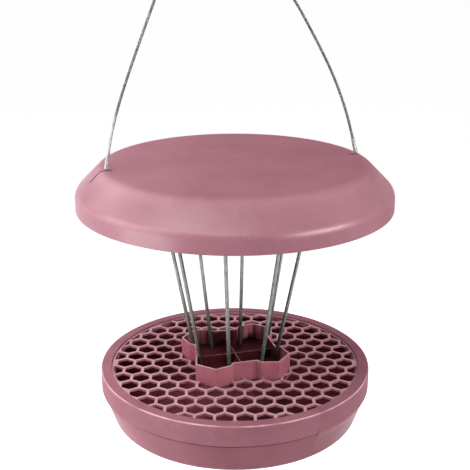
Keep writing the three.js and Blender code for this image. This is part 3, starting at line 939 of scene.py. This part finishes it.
# Wire rope bail: six galvanised strands laid round a core, springy enough to stand in an arch.
# It runs from sleeve to sleeve over the hook that carries the feeder, just above the view.
rope_diameter = 2.2 * MM
strand_count = 6
strand_radius = rope_diameter / 6
strand_place = 2 * strand_radius
points_per_strand = 6
points_round = strand_count * points_per_strand
lay_length = 15.0 * MM
rope_step = 0.7 * MM
route_steps = 40
strand_crease = 75.0
wire_scale = 900.0
wire_stops = [(0.34, (0.07, 0.07, 0.069)), (0.52, (0.18, 0.18, 0.177)), (0.72, (0.37, 0.37, 0.364))]
rope_stain_scale = 60.0
rope_stain_stops = [(0.40, (0.75, 0.75, 0.74)), (0.60, (1.0, 1.0, 1.0))]
rope_stain_share = 0.8
fresh_from = 262.0 * MM
fresh_full = 247.0 * MM
left_leg_full = -10.0 * MM
fresh_zinc = (0.52, 0.53, 0.52)


def smooth_route(points, step):
    """Points at even steps on a smooth curve through the route's points."""
    dense = []
    for i in range(len(points) - 1):
        before = points[i - 1] if i else points[0] * 2 - points[1]
        after = points[i + 2] if i + 2 < len(points) else points[-1] * 2 - points[-2]
        for k in range(route_steps):
            t = k / route_steps
            dense.append(0.5 * (
                2 * points[i]
                + (points[i + 1] - before) * t
                + (2 * before - 5 * points[i] + 4 * points[i + 1] - after) * t ** 2
                + (3 * points[i] - before - 3 * points[i + 1] + after) * t ** 3
            ))
    dense.append(points[-1])
    spans = [(b - a).length for a, b in zip(dense, dense[1:])]
    count = round(sum(spans) / step)
    even = []
    walked = 0.0
    i = 0
    for k in range(count + 1):
        target = sum(spans) * k / count
        while i < len(spans) - 1 and walked + spans[i] < target:
            walked += spans[i]
            i += 1
        even.append(dense[i].lerp(dense[i + 1], min(1.0, (target - walked) / spans[i])))
    return even


def strand_outline(angle):
    """The rope's outside at an angle: the outermost of its round strands."""
    spread = 2 * math.pi / strand_count
    off = (angle + spread / 2) % spread - spread / 2
    across = strand_place * math.sin(off)
    return strand_place * math.cos(off) + math.sqrt(max(0.0, strand_radius ** 2 - across ** 2))


def rope_steel(name):
    """Zinc on fine wires, dull and stained, and still bright low on the left leg."""
    made, tree, surface = new_material(name)
    wires = noise(tree, own_place(tree), wire_scale, detail=3.0, roughness=0.6)
    stains = noise(tree, own_place(tree), rope_stain_scale, detail=3.0)
    bright = ramp(tree, wires, wire_stops)
    worn = ramp(tree, stains, rope_stain_stops)
    tree.links.new(tinted(tree, bright, worn, rope_stain_share), surface.inputs["Base Color"])
    dull = between(tree, wires, 0.3, 0.7, start=0.45, end=0.3)
    tree.links.new(dull, surface.inputs["Roughness"])
    surface.inputs["Metallic"].default_value = 0.6
    low_stretch = between(tree, own_place(tree, "Z"), fresh_from, fresh_full)
    left_leg = between(tree, own_place(tree, "X"), 0.0, left_leg_full)
    fresh_stretch = joined(tree, low_stretch, left_leg)
    fresh_spots = patchy(tree, scale=500.0, least=0.4)
    lay_over(made, joined(tree, fresh_stretch, fresh_spots), fresh_zinc)
    return made


rope_line = smooth_route(rope_route, rope_step)
rope_length = sum((b - a).length for a, b in zip(rope_line, rope_line[1:]))
rope_mesh = bmesh.new()
rings = []
sideways = Vector((0.0, 1.0, 0.0))
for i, point in enumerate(rope_line):
    ahead = (rope_line[min(i + 1, len(rope_line) - 1)] - rope_line[max(i - 1, 0)]).normalized()
    across = ahead.cross(sideways).normalized()
    lay = 2 * math.pi * i * rope_length / (len(rope_line) - 1) / lay_length
    ring = []
    for k in range(points_round):
        a = 2 * math.pi * k / points_round
        out = math.cos(a + lay) * across + math.sin(a + lay) * sideways
        ring.append(rope_mesh.verts.new(point + strand_outline(a) * out))
    rings.append(ring)
for near, far in zip(rings, rings[1:]):
    for k in range(points_round):
        rope_mesh.faces.new([near[k - 1], near[k], far[k], far[k - 1]])
rope_mesh.faces.new(rings[0])
rope_mesh.faces.new(rings[-1])
rope = add_piece("wire_rope_bail", rope_mesh, sharp=strand_crease)
rope.data.materials.append(rope_steel("rope_steel"))
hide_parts("hanging_cable")
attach(rope, "hanger")

# Studio: a pale floor far below the hanging feeder, a white surround and soft boxes all round.
# Two of the boxes are seen only in reflections, for the soft bands along the roof's lip, and so
# is a rose card behind on the right, which keeps the roof's right edge from turning white.
camera_data = bpy.data.cameras.new("photograph_view")
camera_data.lens = 73.18
camera_data.sensor_width = 36.0
camera_fall = 18.564
camera_turn = -15.0
camera = bpy.data.objects.new("photograph_view", camera_data)
camera.location = (-0.1883, -0.7028, 0.3999)
camera.rotation_euler = (math.radians(90.0 - camera_fall), 0.0, math.radians(camera_turn))
bpy.context.collection.objects.link(camera)
bpy.context.scene.camera = camera
bpy.context.scene.view_settings.view_transform = "Standard"
lit_point = Vector((0.0, 0.0, 0.19))
lamp_distance = 0.75
front = -90.0 + camera_turn


def studio_side(turn, rise=0.0):
    """The direction turned from the camera to the right by one angle and raised by another."""
    around = math.radians(front + turn)
    up = math.radians(rise)
    level = math.cos(up)
    return Vector((math.cos(around) * level, math.sin(around) * level, math.sin(up)))


def soft_box(name, turn, rise, size, power):
    out = studio_side(turn, rise)
    lamp_data = bpy.data.lights.new(name, "AREA")
    lamp_data.shape = "RECTANGLE"
    lamp_data.size, lamp_data.size_y = size
    lamp_data.energy = power
    lamp = bpy.data.objects.new(name, lamp_data)
    lamp.location = lit_point + out * lamp_distance
    lamp.rotation_euler = (-out).to_track_quat("-Z", "Y").to_euler()
    lamp.visible_camera = False
    bpy.context.collection.objects.link(lamp)
    return lamp


left_box = soft_box("left_box", -82.0, 27.0, (0.40, 0.36), 2.1)
soft_box("left_low_box", -58.0, -14.0, (0.50, 0.35), 3.4)
soft_box("left_back_box", -132.0, 38.0, (0.45, 0.40), 2.1)
soft_box("front_high_box", -32.0, 50.0, (0.75, 0.35), 4.4)
right_small_box = soft_box("right_small_box", 63.0, 14.0, (0.40, 0.10), 4.2)
left_band_box = soft_box("left_band_box", -70.0, 19.0, (0.80, 0.40), 4.0)
right_band_box = soft_box("right_band_box", 57.0, 15.0, (0.48, 0.24), 4.6)
back_box = soft_box("back_box", -168.0, 26.0, (0.45, 0.35), 2.2)
for band_lamp in (left_band_box, right_band_box):
    band_lamp.visible_diffuse = False
for matte_lamp in (left_box, back_box, right_small_box):
    matte_lamp.visible_glossy = False

matt_paint = 0.9
card_half = 0.45
card_turn = 138.0
card_height = 0.15
card_distance = 0.8
card_tone = (0.60, 0.38, 0.41, 1.0)
card_mesh = bmesh.new()
bmesh.ops.create_grid(card_mesh, x_segments=1, y_segments=1, size=card_half)
card = add_piece("rose_card", card_mesh)
card.location = Vector((0.0, 0.0, card_height)) + studio_side(card_turn) * card_distance
card.rotation_euler = studio_side(card_turn).to_track_quat("Z", "Y").to_euler()
card.visible_camera = False
card.visible_diffuse = False
card.visible_shadow = False
card_felt = new_material("rose_card_felt")[0]
card_surface = card_felt.node_tree.nodes["Principled BSDF"]
card_surface.inputs["Base Color"].default_value = card_tone
card_surface.inputs["Roughness"].default_value = matt_paint
card.data.materials.append(card_felt)

white_below = 0.05
dim_above = 0.14
dim_ceiling = (0.06, 0.06, 0.06)
white = (1.0, 1.0, 1.0)
world = bpy.data.worlds.new("white_sweep")
world.use_nodes = True
sweep = world.node_tree
sweep_height = one_axis(sweep, node(sweep, "TexCoord").outputs["Generated"], "Z")
sweep_shade = ramp(sweep, sweep_height, [(white_below, white), (dim_above, dim_ceiling)])
sweep.links.new(sweep_shade, sweep.nodes["Background"].inputs["Color"])
bpy.context.scene.world = world


def shown_white(tree, lit, glowing):
    """The lit shader for light on the object, and the glowing one wherever the floor is seen."""
    path = node(tree, "LightPath")
    seen = joined(tree, path.outputs["Is Camera Ray"], path.outputs["Is Glossy Ray"], "MAXIMUM")
    seen = joined(tree, seen, path.outputs["Is Transmission Ray"], "MAXIMUM")
    mix = node(tree, "MixShader")
    tree.links.new(seen, mix.inputs["Fac"])
    tree.links.new(lit, mix.inputs[1])
    tree.links.new(glowing, mix.inputs[2])
    return mix.outputs["Shader"]


floor_drop = 0.30
floor_half = 14.0
floor_tone = (0.86, 0.86, 0.86, 1.0)
floor_strength = 0.92
floor_mesh = bmesh.new()
bmesh.ops.create_grid(floor_mesh, x_segments=1, y_segments=1, size=floor_half)
bmesh.ops.translate(floor_mesh, vec=(0.0, 0.0, -floor_drop), verts=floor_mesh.verts)
floor = add_piece("pale_floor", floor_mesh)
floor_paint, floor_tree, floor_surface = new_material("pale_floor_paint")
floor_surface.inputs["Base Color"].default_value = floor_tone
floor_surface.inputs["Roughness"].default_value = matt_paint
floor_glow = node(floor_tree, "Emission", Color=(*white, 1.0), Strength=floor_strength)
floor_sum = node(floor_tree, "AddShader")
floor_tree.links.new(floor_surface.outputs["BSDF"], floor_sum.inputs[0])
floor_tree.links.new(floor_glow.outputs["Emission"], floor_sum.inputs[1])
floor_shader = shown_white(floor_tree, floor_surface.outputs["BSDF"], floor_sum.outputs["Shader"])
floor_tree.links.new(floor_shader, floor_tree.nodes["Material Output"].inputs["Surface"])
floor.data.materials.append(floor_paint)
